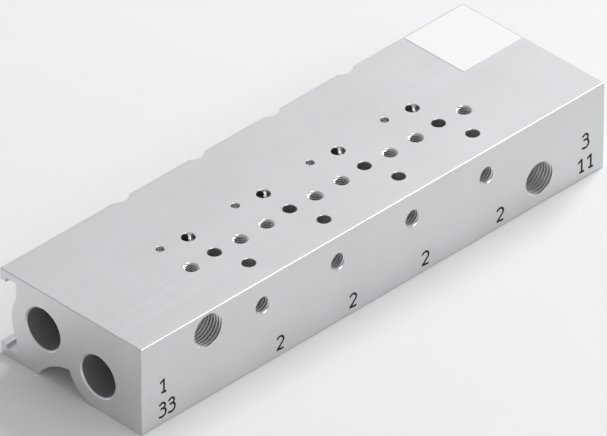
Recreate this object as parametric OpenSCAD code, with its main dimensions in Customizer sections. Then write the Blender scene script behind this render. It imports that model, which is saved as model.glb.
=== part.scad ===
// Manifold block for a row of small 3/2-way valves.
// One length of aluminium extrusion, sawn, drilled and tapped.
// X runs along the block, Y from the port face back to the clip channel, and Z up.
// The origin is the middle of the base, and all sizes are in millimetres.

/* [Block] */
// Number of valve stations
station_count = 4; // [1:1:8]
// Distance between stations
station_pitch = 25; // [24:0.5:40]
// Distance from each sawn end to the nearest station
end_margin = 40; // [38:0.5:60]
// Depth, from the port face to the back of the lips
block_w = 47.5; // [47:0.5:60]
// Height
block_h = 24.5; // [24.25:0.25:28]
// Radius of the long outer corners
corner_r = 0.4; // [0.2:0.1:0.8]
// Edge break round the sawn ends
end_break = 0.3; // [0.1:0.1:0.6]

/* [Galleries] */
// Bore of both galleries
gallery_d = 11.2; // [9:0.1:11.6]
// Chamfer at each gallery mouth
gallery_chamfer = 0.4; // [0.2:0.1:0.6]
// Front gallery, from the port face
front_gallery_y = 14.75; // [14.25:0.25:15.75]
// Front gallery, above the base
front_gallery_z = 9.5; // [9:0.1:9.8]
// Rear gallery, from the port face
rear_gallery_y = 33.15; // [32.65:0.1:34.15]
// Rear gallery, above the base
rear_gallery_z = 13.75; // [13.25:0.25:14.25]

/* [Base groove] */
// How far the front foot's arc is centred behind the front gallery
foot_shift = 0.6; // [0:0.1:1]
// Where the groove ends at the rear foot, from the port face
groove_back_y = 34.8; // [34:0.1:36]
// Radius of the groove's rear arc
groove_r = 14.2; // [13.5:0.1:14.6]
// How far that arc is centred below the base
groove_drop = 7.65; // [7:0.05:8.5]

/* [Clip channel] */
// Depth of the channel, from the back of the lips to its wall
channel_depth = 5.25; // [4.75:0.25:6]
// Thickness of the two lips
lip_t = 2.05; // [1.8:0.05:2.4]
// Height of each lip
lip_h = 3.35; // [2.8:0.05:4]
// Undercut behind each lip
undercut = 1.25; // [0.8:0.05:1.6]
// How far the rib behind the rear gallery stands out of the channel wall
rib_rise = 1.5; // [1:0.1:2]
// Radius of that rib
rib_r = 12; // [10:0.5:14]
// Cutter of the scallops in the top lip
scallop_d = 7; // [5:0.5:10]
// Depth of the scallops
scallop_depth = 1.25; // [0.5:0.05:1.5]

/* [Supply ports] */
// Tapping drill of the two supply ports, for G1/8
supply_drill_d = 8.6; // [8.5:0.1:8.8]
// Depth of the supply ports to the drill's shoulder
supply_depth = 9; // [7:0.5:9.5]
// Distance from each sawn end to its supply port
supply_end = 22; // [14:0.5:24]
// Left supply port, above the base
left_supply_z = 19.1; // [18.6:0.1:19.4]
// Right supply port, above the base
right_supply_z = 7.4; // [6.5:0.1:9]
// Drilling from each supply port on to its gallery
passage_d = 5; // [3:0.1:5.2]

/* [Outlet ports] */
// Tapping drill of the outlet ports, for M5
outlet_drill_d = 4.2; // [4:0.1:4.4]
// Mouth of the outlet ports' countersink
outlet_mouth_d = 5; // [4.8:0.1:6]
// Outlet ports, above the base
outlet_z = 17.3; // [16.5:0.1:18.5]

/* [Valve seats] */
// The three air holes of each seat
air_hole_d = 3.5; // [3.3:0.1:4]
// Front air hole, from the port face
first_air_hole_y = 7.5; // [6.5:0.25:8]
// Spacing of the air holes
air_hole_step = 8.75; // [8.25:0.25:9]
// How far the front air hole sits right of the station's centre
front_hole_shift = 2.7; // [0:0.1:3.2]
// Depth of the rear air hole, before its slanted drilling
rear_hole_depth = 2; // [1:0.1:3]
// Slanted drilling from the rear air hole to the rear gallery
slant_d = 2.6; // [1.5:0.1:2.6]
// Tapping drill of the valve screws, for M4
screw_drill_d = 3.3; // [3.2:0.1:3.4]
// Mouth of the screw holes' countersink
screw_mouth_d = 4; // [3.8:0.1:4.4]
// Depth of the screw holes to the drill's shoulder
screw_depth = 7; // [5:0.25:7.25]
// Distance between the two screws of a seat
screw_spacing = 16.25; // [15:0.25:18]
// Valve screws, from the port face
screw_y = 15.75; // [14:0.25:17]
// Locating pin hole
pin_d = 2.1; // [1.5:0.1:2.5]
// Depth of the locating pin hole
pin_depth = 3; // [2:0.25:5]
// Locating pin hole, from the port face
pin_y = 26.25; // [24:0.25:28]

/* [Hidden] */
$fn = 64;
// Point angle of a twist drill
drill_point = 118;
// How far a cutter runs out of the face that it starts from
over = 1;
block_l = 2 * end_margin + (station_count - 1) * station_pitch;
channel_wall_y = block_w - channel_depth;
stations = [for (i = [0 : station_count - 1]) end_margin + i * station_pitch];
rear_air_hole_y = first_air_hole_y + 2 * air_hole_step;

// Blind hole from the origin down -Z, with the drill's point at its end
module drilled(d, depth) {
    point_h = d / 2 / tan(drill_point / 2);
    translate([0, 0, -depth]) cylinder(h = depth + over, d = d);
    translate([0, 0, -depth - point_h]) cylinder(h = point_h, d1 = 0, d2 = d);
}

// Countersink of 90 degrees from the origin down -Z, as wide as its mouth at the face
module countersink(mouth_d) {
    translate([0, 0, -mouth_d / 2]) cylinder(h = mouth_d / 2, d1 = 0, d2 = mouth_d);
}

// Turns what is drilled down -Z so that it enters the port face at this place
module in_port_face(x, z) {
    translate([x, 0, z]) rotate([-90, 0, 0]) mirror([0, 0, 1]) children();
}

// Sharp corner outside a quarter circle, with the corner at the origin
module corner_waste() {
    difference() {
        translate([-over, -over]) square(corner_r + over);
        translate([corner_r, corner_r]) circle(corner_r);
    }
}

// Arched groove between the two feet, beside the front gallery's round wall
module base_groove() {
    groove_y = groove_back_y - sqrt(groove_r * groove_r - groove_drop * groove_drop);
    foot_y = front_gallery_y + foot_shift;
    difference() {
        translate([groove_y, -groove_drop]) circle(groove_r);
        translate([foot_y, front_gallery_z]) circle(front_gallery_z);
        square([foot_y, front_gallery_z]);
    }
}

// Hooked channel in the back, open to the rear between its lips
module clip_channel() {
    difference() {
        union() {
            translate([channel_wall_y, lip_h])
                square([channel_depth + over, block_h - 2 * lip_h]);
            translate([channel_wall_y, lip_h - undercut])
                square([channel_depth - lip_t, block_h - 2 * (lip_h - undercut)]);
        }
        translate([channel_wall_y + rib_rise - rib_r, block_h / 2]) circle(rib_r);
    }
}

// Section of the extrusion, port face on the left
module section() {
    difference() {
        square([block_w, block_h]);
        base_groove();
        clip_channel();
        for (back = [0, 1], top = [0, 1])
            translate([back * block_w, top * block_h])
                mirror([back, 0]) mirror([0, top]) corner_waste();
    }
}

// The section run along X
module extrusion() {
    rotate([90, 0, 90]) linear_extrude(block_l) section();
}

// 45 degree breaks on the straight outer edges of one sawn end, at X = 0
module end_breaks() {
    side = end_break * sqrt(2);
    for (z = [0, block_h])
        translate([0, block_w / 2, z]) rotate([0, 45, 0])
            cube([side, block_w + 2 * over, side], center = true);
    for (y = [0, block_w])
        translate([0, y, block_h / 2]) rotate([0, 0, 45])
            cube([side, side, block_h + 2 * over], center = true);
}

// Through bore along the block, chamfered at both mouths
module gallery(y, z) {
    mouth_d = gallery_d + 2 * gallery_chamfer;
    translate([-over, y, z]) rotate([0, 90, 0]) cylinder(h = block_l + 2 * over, d = gallery_d);
    for (right = [0, 1])
        translate([right * block_l, y, z]) mirror([right, 0, 0]) rotate([0, -90, 0])
            countersink(mouth_d);
}

// Left port reaches over the front gallery to the rear one, right port drops into the front one
module supply_ports() {
    in_port_face(supply_end, left_supply_z) {
        drilled(supply_drill_d, supply_depth);
        drilled(passage_d, rear_gallery_y);
    }
    in_port_face(block_l - supply_end, right_supply_z) {
        drilled(supply_drill_d, supply_depth);
        drilled(passage_d, front_gallery_y);
    }
}

// Outlet port of one station, which reaches the far side of the front air hole
module outlet_port(x) {
    in_port_face(x, outlet_z) {
        drilled(outlet_drill_d, first_air_hole_y + air_hole_d / 2);
        countersink(outlet_mouth_d);
    }
}

// Front air hole to the outlet port, middle one to the front gallery, rear one to the rear gallery
module air_holes(x) {
    run = rear_gallery_y - rear_air_hole_y;
    fall = block_h - rear_gallery_z;
    translate([x + front_hole_shift, first_air_hole_y, block_h])
        drilled(air_hole_d, block_h - outlet_z + outlet_drill_d / 2);
    translate([x, first_air_hole_y + air_hole_step, block_h])
        drilled(air_hole_d, block_h - front_gallery_z);
    translate([x, rear_air_hole_y, block_h]) {
        drilled(air_hole_d, rear_hole_depth);
        rotate([atan2(run, fall), 0, 0]) drilled(slant_d, sqrt(run * run + fall * fall));
    }
}

// Two tapped holes for the valve's screws and a blind hole for its locating pin
module valve_fixings(x) {
    for (side = [-1, 1])
        translate([x + side * screw_spacing / 2, screw_y, block_h]) {
            drilled(screw_drill_d, screw_depth);
            countersink(screw_mouth_d);
        }
    translate([x - screw_spacing / 2, pin_y, block_h]) drilled(pin_d, pin_depth);
}

// Scallop in the rear edge of the top lip
module scallop(x) {
    translate([x, block_w + scallop_d / 2 - scallop_depth, block_h / 2])
        cylinder(h = block_h / 2 + over, d = scallop_d);
}

module manifold_block() {
    color("silver")
    translate([-block_l / 2, -block_w / 2, 0])
    difference() {
        extrusion();
        end_breaks();
        translate([block_l, 0, 0]) mirror([1, 0, 0]) end_breaks();
        gallery(front_gallery_y, front_gallery_z);
        gallery(rear_gallery_y, rear_gallery_z);
        supply_ports();
        for (x = stations) {
            outlet_port(x);
            air_holes(x);
            valve_fixings(x);
            scallop(x);
        }
    }
}

manifold_block();
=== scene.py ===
import math

import bmesh
import bpy
from mathutils import Matrix, Vector


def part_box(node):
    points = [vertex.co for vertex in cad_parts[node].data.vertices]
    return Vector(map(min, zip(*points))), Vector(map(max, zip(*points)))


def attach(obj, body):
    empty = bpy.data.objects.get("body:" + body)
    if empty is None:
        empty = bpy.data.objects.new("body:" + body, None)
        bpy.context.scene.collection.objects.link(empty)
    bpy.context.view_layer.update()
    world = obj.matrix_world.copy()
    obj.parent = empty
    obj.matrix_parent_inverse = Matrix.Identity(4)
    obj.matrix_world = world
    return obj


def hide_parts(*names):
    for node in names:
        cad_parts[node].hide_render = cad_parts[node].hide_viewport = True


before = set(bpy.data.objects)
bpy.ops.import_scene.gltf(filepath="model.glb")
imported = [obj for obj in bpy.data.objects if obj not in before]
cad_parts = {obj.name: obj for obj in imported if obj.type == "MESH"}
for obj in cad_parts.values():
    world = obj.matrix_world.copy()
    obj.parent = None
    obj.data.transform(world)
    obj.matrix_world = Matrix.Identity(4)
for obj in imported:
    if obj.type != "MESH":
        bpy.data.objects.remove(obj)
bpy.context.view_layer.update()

# Camera. The drawing is an isometric view of the port face, the valve face and the left end, so
# the camera looks from the front left, 35.26 degrees down, and from so far away that edges stay
# nearly parallel. The object's sizes are in millimetres, and MM makes them metres.
MM = 0.001
PHOTO_W = 607
PX_PER_MM = 4.218
LENS_MM, SENSOR_MM = 1000, 36
AIM_RIGHT, AIM_UP = -0.25, -0.35
block_low, block_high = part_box("manifold_block")
block_mid = (block_low + block_high) / 2
camera_data = bpy.data.cameras.new("camera")
camera_data.lens = LENS_MM
camera_data.sensor_width = SENSOR_MM
camera = bpy.data.objects.new("camera", camera_data)
bpy.context.scene.collection.objects.link(camera)
bpy.context.scene.camera = camera
distance = PHOTO_W * LENS_MM / (SENSOR_MM * PX_PER_MM) * MM
toward_camera = Vector((-1, -1, 1)).normalized()
picture_right = Vector((1, -1, 0)).normalized()
picture_up = toward_camera.cross(picture_right)
aim = block_mid + (picture_right * AIM_RIGHT + picture_up * AIM_UP) * MM
camera.location = aim + toward_camera * distance
camera.rotation_mode = "QUATERNION"
camera.rotation_quaternion = (-toward_camera).to_track_quat("-Z", "Y")
camera_data.clip_start = distance / 10
camera_data.clip_end = distance * 4

# Floor. A wide sheet of pale matt paper. It lies a hair below the block's two feet, so that no
# two faces are in one plane.
FLOOR_HALF, FLOOR_GAP = 6000, 0.05
PAPER_GREY, PAPER_ROUGHNESS, PAPER_SPECULAR = (0.88, 0.88, 0.88, 1), 0.9, 0.1


def made(name, bm, *materials):
    mesh = bpy.data.meshes.new(name)
    bm.to_mesh(mesh)
    bm.free()
    for material in materials:
        mesh.materials.append(material)
    piece = bpy.data.objects.new(name, mesh)
    bpy.context.scene.collection.objects.link(piece)
    return piece


paper = bpy.data.materials.new("floor paper")
paper.use_nodes = True
paper_shader = paper.node_tree.nodes["Principled BSDF"]
paper_shader.inputs["Base Color"].default_value = PAPER_GREY
paper_shader.inputs["Roughness"].default_value = PAPER_ROUGHNESS
paper_shader.inputs["Specular IOR Level"].default_value = PAPER_SPECULAR
bm = bmesh.new()
bmesh.ops.create_grid(bm, x_segments=1, y_segments=1, size=FLOOR_HALF * MM)
bmesh.ops.translate(bm, verts=bm.verts, vec=(0, 0, -FLOOR_GAP * MM))
made("floor", bm, paper)

# Studio light. A soft box behind on the right makes the valve face the lightest side and leaves
# the sawn end in its own shade, and a weaker one in front reaches into the ports. The walls of
# the room are nearly as pale as the floor, and its ceiling is darker.
WALLS, CEILING, WALL_TOP = 0.8, 0.43, 0.3
ROOM_WHITE = (0.96, 0.98, 1.0, 1)


def soft_box(name, place, size, watts):
    """Stands a light of this size at this place, both in metres, and turns it to the block."""
    data = bpy.data.lights.new(name, "AREA")
    data.shape = "RECTANGLE"
    data.size, data.size_y = size
    data.energy = watts
    light = bpy.data.objects.new(name, data)
    bpy.context.scene.collection.objects.link(light)
    light.location = place
    light.rotation_mode = "QUATERNION"
    light.rotation_quaternion = (Vector(place) - block_mid).to_track_quat("Z", "Y")


soft_box("softbox_back", place=(1.5, 0.15, 1.25), size=(0.9, 0.9), watts=28)
soft_box("softbox_front", place=(0.2, -1.3, 1.4), size=(1.2, 1.0), watts=6)
room = bpy.data.worlds.new("room")
room.use_nodes = True
nodes, links = room.node_tree.nodes, room.node_tree.links
direction = nodes.new("ShaderNodeTexCoord")
height = nodes.new("ShaderNodeSeparateXYZ")
links.new(direction.outputs["Generated"], height.inputs["Vector"])
fade = nodes.new("ShaderNodeMapRange")
fade.inputs["From Max"].default_value = WALL_TOP
fade.inputs["To Min"].default_value = WALLS
fade.inputs["To Max"].default_value = CEILING
links.new(height.outputs["Z"], fade.inputs["Value"])
links.new(fade.outputs["Result"], nodes["Background"].inputs["Strength"])
nodes["Background"].inputs["Color"].default_value = ROOM_WHITE
bpy.context.scene.world = room
bpy.context.scene.view_settings.view_transform = "Standard"

# Extruded bar. The block is a length of aluminium profile with an arched groove underneath and a
# hooked channel along its back. Its outline is drawn in the YZ plane, from the port face back,
# run along X, and the saw leaves a slight chamfer round both ends.
LENGTH, DEPTH, HEIGHT = 155, 47.5, 24.5
OUTER_CORNER, INNER_CORNER = 0.4, 0.2
SAW_CHAMFER = 0.15
FRONT_GALLERY = (14.75, 9.5)
REAR_GALLERY = (33.15, 13.75)
FOOT_ARC = (15.35, 9.5, 9.5)
GROOVE_BACK, GROOVE_R, GROOVE_DROP = 34.8, 14.2, 7.65
CHANNEL_WALL, LIP_INSIDE, LIP_HEIGHT, UNDERCUT_FLOOR = 42.25, 45.45, 3.35, 2.1
RIB_CREST, RIB_R = 43.75, 12
SAME_POINT = 0.001
RIGHT, BACK = Vector((1, 0, 0)), Vector((0, 1, 0))
UP, DOWN = Vector((0, 0, 1)), Vector((0, 0, -1))
FINISHES = ["extruded", "sawn", "bored along X", "drilled along Y", "drilled along Z"]
aluminium = [bpy.data.materials.new(finish) for finish in FINISHES]


def points(geom):
    return [g for g in geom if isinstance(g, bmesh.types.BMVert)]


class Pen:
    """Draws straight runs and arcs as one chain of edges, by how far across and how far up."""

    def __init__(self, bm, origin, across, start):
        self.bm, self.origin, self.across = bm, origin, across
        self.tip = bm.verts.new(self.at(*start))

    def at(self, right, up):
        return self.origin + (self.across * right + UP * up) * MM

    def line(self, right, up):
        out = bmesh.ops.extrude_vert_indiv(self.bm, verts=[self.tip])
        self.tip = out["verts"][0]
        self.tip.co = self.at(right, up)

    def arc(self, centre, degrees, steps):
        """Turns from across towards up when degrees is positive."""
        out = bmesh.ops.spin(self.bm, geom=[self.tip], cent=self.at(*centre), steps=steps,
                             axis=self.across.cross(UP), angle=math.radians(degrees))
        self.tip = points(out["geom_last"])[0]


def profile_outline(bm):
    foot_y, foot_z, foot_r = FOOT_ARC
    groove_y = GROOVE_BACK - math.sqrt(GROOVE_R ** 2 - GROOVE_DROP ** 2)
    # The groove's two arcs meet where their circles cross, behind the line through the centres.
    across = Vector((groove_y - foot_y, -GROOVE_DROP - foot_z))
    along = (foot_r ** 2 - GROOVE_R ** 2 + across.length_squared) / (2 * across.length)
    aside = math.sqrt(foot_r ** 2 - along ** 2)
    unit = across.normalized()
    cusp = Vector((foot_y, foot_z)) + unit * along + Vector((-unit.y, unit.x)) * aside
    foot_turn = math.degrees(math.atan2(cusp.y - foot_z, cusp.x - foot_y)) + 90
    groove_turn = math.degrees(math.atan2(cusp.y + GROOVE_DROP, cusp.x - groove_y)
                               - math.asin(GROOVE_DROP / GROOVE_R))
    rib_y = RIB_CREST - RIB_R
    rib_half = math.acos((CHANNEL_WALL - rib_y) / RIB_R)

    pen = Pen(bm, Vector((-LENGTH / 2, -DEPTH / 2, 0)) * MM, across=BACK, start=(0, 0))
    pen.line(foot_y, 0)
    pen.arc((foot_y, foot_z), foot_turn, steps=24)
    pen.arc((groove_y, -GROOVE_DROP), -groove_turn, steps=24)
    pen.line(DEPTH, 0)
    pen.line(DEPTH, LIP_HEIGHT)
    pen.line(LIP_INSIDE, LIP_HEIGHT)
    pen.line(LIP_INSIDE, UNDERCUT_FLOOR)
    pen.line(CHANNEL_WALL, UNDERCUT_FLOOR)
    pen.line(CHANNEL_WALL, HEIGHT / 2 - RIB_R * math.sin(rib_half))
    pen.arc((rib_y, HEIGHT / 2), math.degrees(2 * rib_half), steps=32)
    pen.line(CHANNEL_WALL, HEIGHT - UNDERCUT_FLOOR)
    pen.line(LIP_INSIDE, HEIGHT - UNDERCUT_FLOOR)
    pen.line(LIP_INSIDE, HEIGHT - LIP_HEIGHT)
    pen.line(DEPTH, HEIGHT - LIP_HEIGHT)
    pen.line(DEPTH, HEIGHT)
    pen.line(0, HEIGHT)
    pen.line(0, 0)
    bmesh.ops.remove_doubles(bm, verts=bm.verts, dist=SAME_POINT * MM)


def runs_along(edge):
    return abs(edge.verts[0].co.x - edge.verts[1].co.x) > MM


def at_outer_corner(edge):
    y, z = edge.verts[0].co.y / MM, edge.verts[0].co.z / MM
    return abs(abs(y) - DEPTH / 2) < SAME_POINT and min(z, HEIGHT - z) < SAME_POINT


def is_corner(edge):
    """Tells a corner from the slight turn between two facets of an arc."""
    return edge.calc_face_angle(0) > math.radians(25)


def rounded(bm, edges, size, segments):
    bmesh.ops.bevel(bm, geom=edges, offset=size * MM, segments=segments, profile=0.5,
                    affect="EDGES", material=-1, clamp_overlap=True)


def extruded_bar():
    bm = bmesh.new()
    profile_outline(bm)
    end = bmesh.ops.contextual_create(bm, geom=bm.edges)["faces"]
    out = bmesh.ops.extrude_face_region(bm, geom=end)
    bmesh.ops.translate(bm, verts=points(out["geom"]), vec=(LENGTH * MM, 0, 0))
    bmesh.ops.recalc_face_normals(bm, faces=bm.faces)
    for size, outer in ((OUTER_CORNER, True), (INNER_CORNER, False)):
        long_corners = [e for e in bm.edges if runs_along(e) and is_corner(e)
                        and at_outer_corner(e) == outer]
        rounded(bm, long_corners, size, segments=4)
    end_corners = [e for e in bm.edges if not runs_along(e) and is_corner(e)]
    rounded(bm, end_corners, SAW_CHAMFER, segments=1)
    for face in bm.faces:
        at_an_end = abs(face.normal.x) > 0.5
        face.material_index = FINISHES.index("sawn" if at_an_end else "extruded")
    return bm


block = made("block", extruded_bar(), *aluminium)

# Galleries. Two long bores right through the bar, with a chamfer at both ends. Each tool is a
# solid of revolution, listed as (radius, depth) from the middle of its mouth, and it starts a
# little way out of the block.
GALLERY_R, GALLERY_CHAMFER = 5.6, 0.4
OUT = 1
tools = []


def aimed(bm, place, into):
    """Turns a tool that points up to where it enters the block, with its normals outwards."""
    turn = UP.rotation_difference(into).to_matrix().to_4x4()
    x, y, z = place
    move = Matrix.Translation(Vector((x - LENGTH / 2, y - DEPTH / 2, z)) * MM)
    bmesh.ops.transform(bm, matrix=move @ turn, verts=bm.verts)
    bmesh.ops.recalc_face_normals(bm, faces=bm.faces)
    return bm


def turned(profile, place, into, steps):
    bm = bmesh.new()
    verts = [bm.verts.new((r * MM, 0, depth * MM)) for r, depth in profile]
    edges = [bm.edges.new(pair) for pair in zip(verts, verts[1:])]
    bmesh.ops.spin(bm, geom=verts + edges, cent=(0, 0, 0), axis=UP, angle=2 * math.pi,
                   steps=steps, use_merge=True)
    bmesh.ops.remove_doubles(bm, verts=bm.verts, dist=SAME_POINT * MM)
    return aimed(bm, place, into)


def boolean(piece, operation, other):
    modifier = piece.modifiers.new(operation, "BOOLEAN")
    modifier.operation, modifier.solver, modifier.object = operation, "MANIFOLD", other


def cut(finish, *shapes):
    """Cuts away shapes that don't touch each other, in one pass."""
    bm = bmesh.new()
    for shape in shapes:
        for face in shape.faces:
            face.material_index = FINISHES.index(finish)
        mesh = bpy.data.meshes.new("shape")
        shape.to_mesh(mesh)
        shape.free()
        bm.from_mesh(mesh)
        bpy.data.meshes.remove(mesh)
    tool = made("tool", bm, *aluminium)
    tools.append(tool)
    boolean(block, "DIFFERENCE", tool)


def gallery(y, z):
    mouth_r = GALLERY_R + GALLERY_CHAMFER
    profile = [(0, -OUT), (mouth_r, -OUT), (mouth_r, 0), (GALLERY_R, GALLERY_CHAMFER),
               (GALLERY_R, LENGTH - GALLERY_CHAMFER), (mouth_r, LENGTH), (mouth_r, LENGTH + OUT),
               (0, LENGTH + OUT)]
    return turned(profile, (0, y, z), into=RIGHT, steps=96)


cut("bored along X", gallery(*FRONT_GALLERY), gallery(*REAR_GALLERY))

# Supply ports. The left one goes on over the front gallery into the rear one, and the right one
# opens into the front gallery. Both are stepped drillings with the point of a twist drill.
SUPPLY_R, SUPPLY_BREAK, SUPPLY_DEPTH, PASSAGE_R = 4.3, 0.05, 9, 2.5
LEFT_SUPPLY, RIGHT_SUPPLY = (22, 0, 19.1), (133, 0, 7.4)
POINT_TAN = math.tan(math.radians(118 / 2))


def supply_port(place, depth):
    shoulder = SUPPLY_DEPTH + (SUPPLY_R - PASSAGE_R) / POINT_TAN
    mouth_r = SUPPLY_R + SUPPLY_BREAK
    profile = [(0, -OUT), (mouth_r, -OUT), (mouth_r, 0), (SUPPLY_R, SUPPLY_BREAK),
               (SUPPLY_R, SUPPLY_DEPTH), (PASSAGE_R, shoulder), (PASSAGE_R, depth),
               (0, depth + PASSAGE_R / POINT_TAN)]
    return turned(profile, place, into=BACK, steps=80)


cut("drilled along Y", supply_port(LEFT_SUPPLY, depth=REAR_GALLERY[0]),
    supply_port(RIGHT_SUPPLY, depth=FRONT_GALLERY[0]))

# Outlet ports. One for each valve, drilled from the port face to the far side of the front air
# hole and countersunk.
STATIONS = [40, 65, 90, 115]
OUTLET_R, OUTLET_MOUTH_R, OUTLET_DEPTH, OUTLET_Z = 2.1, 2.5, 9.25, 17.3


def blind(r, depth, mouth_r):
    """Blind hole with a 45 degree countersink and a drill's point."""
    return [(0, -OUT), (mouth_r, -OUT), (mouth_r, 0), (r, mouth_r - r), (r, depth),
            (0, depth + r / POINT_TAN)]


outlet = blind(OUTLET_R, OUTLET_DEPTH, OUTLET_MOUTH_R)
cut("drilled along Y", *[turned(outlet, (x, 0, OUTLET_Z), into=BACK, steps=56)
                         for x in STATIONS])

# Valve seats. Each station has three air holes, two holes for the valve's screws and a small one
# for its locating pin, all drilled from the valve face. The front air hole meets the outlet port,
# the middle one the front gallery, and a slanted drilling takes the rear one to the rear gallery.
AIR_R, PIN_R, EDGE_BREAK, SLANT_R = 1.75, 1.05, 0.12, 1.3
REAR_AIR_Y = 25
AIR_HOLES = [(2.7, 7.5, HEIGHT - OUTLET_Z + OUTLET_R), (0, 16.25, HEIGHT - FRONT_GALLERY[1]),
             (0, REAR_AIR_Y, 2)]
SCREW_R, SCREW_MOUTH_R, SCREW_DEPTH = 1.65, 2.0, 7
SCREWS = [(-8.125, 15.75), (8.125, 15.75)]
PIN_RIGHT, PIN_Y, PIN_DEPTH = -8.125, 26.25, 3


def at_stations(profile, right, y, into=DOWN, steps=48):
    """Drills the same hole at every station, this far right of the station's middle."""
    cut("drilled along Z", *[turned(profile, (x + right, y, HEIGHT), into, steps)
                             for x in STATIONS])


for right, y, depth in AIR_HOLES:
    at_stations(blind(AIR_R, depth, AIR_R + EDGE_BREAK), right, y)
for right, y in SCREWS:
    at_stations(blind(SCREW_R, SCREW_DEPTH, SCREW_MOUTH_R), right, y)
at_stations(blind(PIN_R, PIN_DEPTH, PIN_R + EDGE_BREAK), PIN_RIGHT, PIN_Y, steps=32)
slant = Vector((0, REAR_GALLERY[0] - REAR_AIR_Y, REAR_GALLERY[1] - HEIGHT))
at_stations(blind(SLANT_R, slant.length, SLANT_R), 0, REAR_AIR_Y, into=slant.normalized(),
            steps=32)

# Scallops. A round cutter takes a shallow bite out of the rear edge of the top lip at each
# station, down into the channel.
SCALLOP_R, SCALLOP_DEPTH = 3.5, 1.25
scallop_mouth_r = SCALLOP_R + EDGE_BREAK
scallop = [(0, -OUT), (scallop_mouth_r, -OUT), (scallop_mouth_r, 0), (SCALLOP_R, EDGE_BREAK),
           (SCALLOP_R, HEIGHT / 2), (0, HEIGHT / 2)]
at_stations(scallop, 0, DEPTH + SCALLOP_R - SCALLOP_DEPTH, steps=64)

# Threads. A tap cuts a 60 degree groove outwards from the bore, as one helix that starts outside
# the mouth and ends short of the drilling's floor. The supply ports are tapped G1/8, the outlet
# ports M5 and the screw holes M4.
SUPPLY_THREAD = {"groove_r": 4.86, "pitch": 0.907, "depth": 8, "steps": 64}
OUTLET_THREAD = {"groove_r": 2.43, "pitch": 0.8, "depth": 5.4, "steps": 40}
SCREW_THREAD = {"groove_r": 1.93, "pitch": 0.7, "depth": 5.8, "steps": 36}
FLANK_TAN = math.tan(math.radians(60 / 2))
INSIDE_BORE, LEAD_IN_TURNS = 0.1, 0.6


def tapped(bore_r, place, into, groove_r, pitch, depth, steps):
    """Winds one groove's section round the bore, with this many steps to a turn."""
    inner_r = bore_r - INSIDE_BORE
    outer_half = pitch / 16
    inner_half = outer_half + (groove_r - inner_r) * FLANK_TAN
    start = -LEAD_IN_TURNS * pitch
    steps_in_all = round((depth - start) / pitch * steps)
    bm = bmesh.new()
    corners = [(inner_r, start - inner_half), (groove_r, start - outer_half),
               (groove_r, start + outer_half), (inner_r, start + inner_half)]
    tooth = bm.faces.new([bm.verts.new((r * MM, 0, z * MM)) for r, z in corners])
    bmesh.ops.spin(bm, geom=[tooth, *tooth.edges, *tooth.verts], cent=(0, 0, 0), axis=UP,
                   dvec=(0, 0, pitch / steps * MM), angle=2 * math.pi * steps_in_all / steps,
                   steps=steps_in_all, use_merge=False)
    return aimed(bm, place, into)


cut("drilled along Y", *[tapped(SUPPLY_R, place, BACK, **SUPPLY_THREAD)
                         for place in (LEFT_SUPPLY, RIGHT_SUPPLY)])
cut("drilled along Y", *[tapped(OUTLET_R, (x, 0, OUTLET_Z), BACK, **OUTLET_THREAD)
                         for x in STATIONS])
cut("drilled along Z", *[tapped(SCREW_R, (x + right, y, HEIGHT), DOWN, **SCREW_THREAD)
                         for x in STATIONS for right, y in SCREWS])

# Finished block. The cuts are made for good, the slivers that they leave are closed, and edges
# that turn by more than SHARP_ANGLE stay sharp.
SHARP_ANGLE = 30


def made_for_good(piece):
    mesh = bpy.data.meshes.new_from_object(
        piece.evaluated_get(bpy.context.evaluated_depsgraph_get()))
    bm = bmesh.new()
    bm.from_mesh(mesh)
    bmesh.ops.remove_doubles(bm, verts=bm.verts, dist=SAME_POINT * MM)
    bm.to_mesh(mesh)
    bm.free()
    piece.modifiers.clear()
    piece.data = mesh


made_for_good(block)
for tool in tools:
    bpy.data.objects.remove(tool)
block.data.shade_smooth()
block.data.set_sharp_from_angle(angle=math.radians(SHARP_ANGLE))
flat = block.modifiers.new("flat faces stay flat", "WEIGHTED_NORMAL")
flat.keep_sharp = True
flat.weight = 100
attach(block, "root")
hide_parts("manifold_block")

# Finish. The profile is etched and satin anodised, with faint lines from the die along it. The
# ends were sawn after that and show the blade's arcs, and every hole was cut last, so its wall
# is brighter and has the fine rings of the tool's feed.
ANODISED = (0.72, 0.73, 0.74)
BRIGHT = (0.87, 0.875, 0.88)
BLADE_CENTRE = (0, -30 * MM, -190 * MM)
MICRON = MM / 1000
GRAIN = 6000
WAVER = 1.5
# Nearly all of a noise texture lies between these two values.
NOISE_LOW, NOISE_HIGH = 0.3, 0.7


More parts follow.
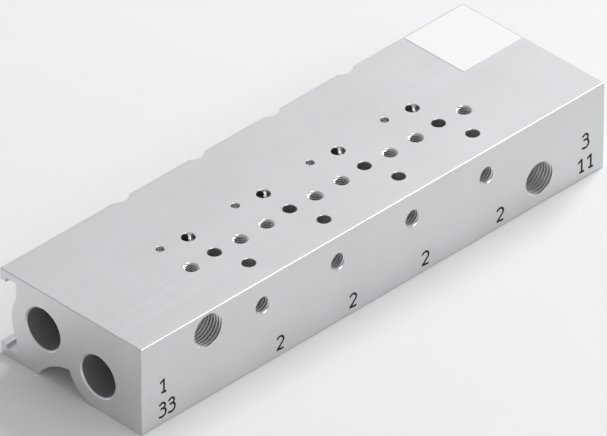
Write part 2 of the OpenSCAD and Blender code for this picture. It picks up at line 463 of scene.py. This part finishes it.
class Surface:
    """A material and the patterns in its finish, all laid out on the piece's own coordinates."""

    def __init__(self, material, metallic, specular):
        material.use_nodes = True
        self.nodes, self.links = material.node_tree.nodes, material.node_tree.links
        self.shader = self.nodes["Principled BSDF"]
        self.shader.inputs["Metallic"].default_value = metallic
        self.shader.inputs["Specular IOR Level"].default_value = specular
        self.place = self.nodes.new("ShaderNodeTexCoord").outputs["Object"]
        self.relief = None

    def pattern(self, kind, fineness, detail, stretch=(1, 1, 1), centre=(0, 0, 0)):
        """Lays out a texture. A stretch of less than 1 draws it out along that axis."""
        mapping = self.nodes.new("ShaderNodeMapping")
        mapping.inputs["Scale"].default_value = stretch
        mapping.inputs["Location"].default_value = [-c for c in centre]
        self.links.new(self.place, mapping.inputs["Vector"])
        texture = self.nodes.new(kind)
        texture.inputs["Scale"].default_value = fineness
        texture.inputs["Detail"].default_value = detail
        self.links.new(mapping.outputs["Vector"], texture.inputs["Vector"])
        return texture

    def noise(self, fineness, detail=2, stretch=(1, 1, 1)):
        return self.pattern("ShaderNodeTexNoise", fineness, detail, stretch).outputs["Fac"]

    def wave(self, kind, axis, fineness, detail=2, centre=(0, 0, 0)):
        texture = self.pattern("ShaderNodeTexWave", fineness, detail, centre=centre)
        texture.wave_type = kind
        texture.bands_direction = texture.rings_direction = axis
        texture.inputs["Distortion"].default_value = WAVER
        return texture.outputs["Fac"]

    def coloured(self, colour, darkest, fineness):
        """Clouds the colour down to a share of itself."""
        ramp = self.nodes.new("ShaderNodeValToRGB")
        dark, light = ramp.color_ramp.elements
        dark.position, light.position = NOISE_LOW, NOISE_HIGH
        dark.color = (*[c * darkest for c in colour], 1)
        light.color = (*colour, 1)
        self.links.new(self.noise(fineness, detail=3), ramp.inputs["Fac"])
        self.links.new(ramp.outputs["Color"], self.shader.inputs["Base Color"])

    def rough(self, roughness, spread, fineness, stretch=(1, 1, 1)):
        """Varies the roughness by its spread either way, in specks or in streaks."""
        ranged = self.nodes.new("ShaderNodeMapRange")
        ranged.inputs["From Min"].default_value = NOISE_LOW
        ranged.inputs["From Max"].default_value = NOISE_HIGH
        ranged.inputs["To Min"].default_value = roughness - spread
        ranged.inputs["To Max"].default_value = roughness + spread
        self.links.new(self.noise(fineness, stretch=stretch), ranged.inputs["Value"])
        self.links.new(ranged.outputs["Result"], self.shader.inputs["Roughness"])

    def raised(self, height, depth_um):
        """Lays a relief of this depth over those that the surface already has."""
        bump = self.nodes.new("ShaderNodeBump")
        bump.inputs["Strength"].default_value = 1
        bump.inputs["Distance"].default_value = depth_um * MICRON
        self.links.new(height, bump.inputs["Height"])
        if self.relief:
            self.links.new(self.relief, bump.inputs["Normal"])
        self.relief = bump.outputs["Normal"]
        self.links.new(self.relief, self.shader.inputs["Normal"])


def metal(finish, colour, roughness, stretch=(1, 1, 1)):
    surface = Surface(bpy.data.materials[finish], metallic=1, specular=0.5)
    surface.coloured(colour, darkest=0.95, fineness=45)
    surface.rough(roughness, spread=0.015, fineness=900, stretch=stretch)
    return surface


def machined(finish, axis, roughness, ring_um, grain_um):
    wall = metal(finish, BRIGHT, roughness)
    wall.raised(wall.wave("BANDS", axis, fineness=1100), ring_um)
    wall.raised(wall.noise(GRAIN), grain_um)


extruded = metal("extruded", ANODISED, roughness=0.48, stretch=(0.01, 1, 1))
extruded.raised(extruded.noise(fineness=2600, detail=3, stretch=(0.004, 1, 1)), depth_um=2)
extruded.raised(extruded.noise(GRAIN), depth_um=1.5)
sawn = metal("sawn", ANODISED, roughness=0.40)
sawn.raised(sawn.wave("RINGS", "X", fineness=420, centre=BLADE_CENTRE), depth_um=6)
sawn.raised(sawn.noise(GRAIN), depth_um=1.5)
machined("bored along X", "X", roughness=0.42, ring_um=1.5, grain_um=0.3)
machined("drilled along Y", "Y", roughness=0.32, ring_um=0.4, grain_um=0.2)
machined("drilled along Z", "Z", roughness=0.32, ring_um=0.4, grain_um=0.2)

# Label. A blank square of thin white foil with slightly rounded corners, stuck on the right rear
# corner of the valve face, just inside its two edges.
LABEL_SIDE, LABEL_INSET, LABEL_THICK, LABEL_CORNER = 20, 0.6, 0.1, 0.3
FOIL_WHITE = (0.93, 0.93, 0.92)
bm = bmesh.new()
bmesh.ops.create_cube(bm, size=1)
bmesh.ops.scale(bm, verts=bm.verts, vec=Vector((LABEL_SIDE, LABEL_SIDE, LABEL_THICK)) * MM)
bmesh.ops.translate(bm, verts=bm.verts, vec=Vector((
    LENGTH / 2 - LABEL_INSET - LABEL_SIDE / 2, DEPTH / 2 - LABEL_INSET - LABEL_SIDE / 2,
    HEIGHT + LABEL_THICK / 2)) * MM)
upright = [e for e in bm.edges if abs(e.verts[0].co.z - e.verts[1].co.z) > SAME_POINT * MM]
rounded(bm, upright, LABEL_CORNER, segments=5)
foil = Surface(bpy.data.materials.new("label foil"), metallic=0, specular=0.5)
foil.coloured(FOIL_WHITE, darkest=0.985, fineness=250)
foil.rough(roughness=0.45, spread=0.03, fineness=1500)
foil.raised(foil.noise(fineness=4000), depth_um=0.8)
label = made("blank_label", bm, bpy.data.materials["label foil"])
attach(label, "root")

# Port numbers. Plain upright figures, printed in matt black beside the ports with a pen about
# half a millimetre wide. Each is drawn round its own middle, in strokes that overlap: a pair is
# where a straight run goes, and an arc is its centre and how far it turns.
PEN_WIDTH, INK_THICK = 0.58, 0.02
INK_BLACK = (0.024, 0.024, 0.026)
ONE = [[(0.42, 1.86), (0.42, -1.95)], [(-0.82, 0.92), (0.42, 1.66)],
       [(-0.42, -1.76), (-0.02, -1.93), (1.22, -1.95)]]
TWO = [[(-0.92, 1.14), (-0.58, 1.50), ((0.12, 0.66), -161), (-0.80, -1.80)],
       [(-1.02, -1.82), (-0.3, -1.78), (0.5, -1.93), (1.26, -1.93)]]
THREE = [[(-1.06, 1.40), (-0.50, 1.76), ((-0.05, 0.98), -180)],
         [(-0.66, 0.20), (-0.10, 0.34), ((-0.12, -0.86), -205), (-1.20, -1.84)]]
FIGURES = [(ONE, 6.8, 11.0), (THREE, 6.71, 4.2), (THREE, 9.72, 4.2), (TWO, 45.5, 3.8),
           (TWO, 69.8, 3.8), (TWO, 94.1, 3.8), (TWO, 119.4, 3.8), (THREE, 148.6, 10.8),
           (ONE, 146.98, 4.2), (ONE, 150.07, 4.2)]
ink = Surface(bpy.data.materials.new("number ink"), metallic=0, specular=0.2)
ink.coloured(INK_BLACK, darkest=0.7, fineness=3000)
ink.rough(roughness=0.7, spread=0.06, fineness=2500)
ink.raised(ink.noise(fineness=5000), depth_um=1.5)


def written(name, strokes):
    """Draws each stroke at its place on the port face, as a band as wide as the pen."""
    bm = bmesh.new()
    for (start, *moves), x, z in strokes:
        middle = Vector((x - LENGTH / 2, -DEPTH / 2 - INK_THICK, z)) * MM
        pen = Pen(bm, middle, across=RIGHT, start=start)
        for to, by in moves:
            if isinstance(to, tuple):
                pen.arc(to, by, steps=20)
            else:
                pen.line(to, by)
    out = bmesh.ops.extrude_edge_only(bm, edges=bm.edges)
    bmesh.ops.translate(bm, verts=points(out["geom"]), vec=(0, 2 * INK_THICK * MM, 0))
    figures = made(name, bm, bpy.data.materials["number ink"])
    width = figures.modifiers.new("pen width", "SOLIDIFY")
    width.thickness, width.offset, width.use_even_offset = PEN_WIDTH * MM, 0, True
    return figures


port_numbers = written("port_numbers", [(figure[0], x, z) for figure, x, z in FIGURES])
later_strokes = written("later_strokes", [(stroke, x, z) for figure, x, z in FIGURES
                                          for stroke in figure[1:]])
boolean(port_numbers, "UNION", later_strokes)
made_for_good(port_numbers)
bpy.data.objects.remove(later_strokes)
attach(port_numbers, "root")
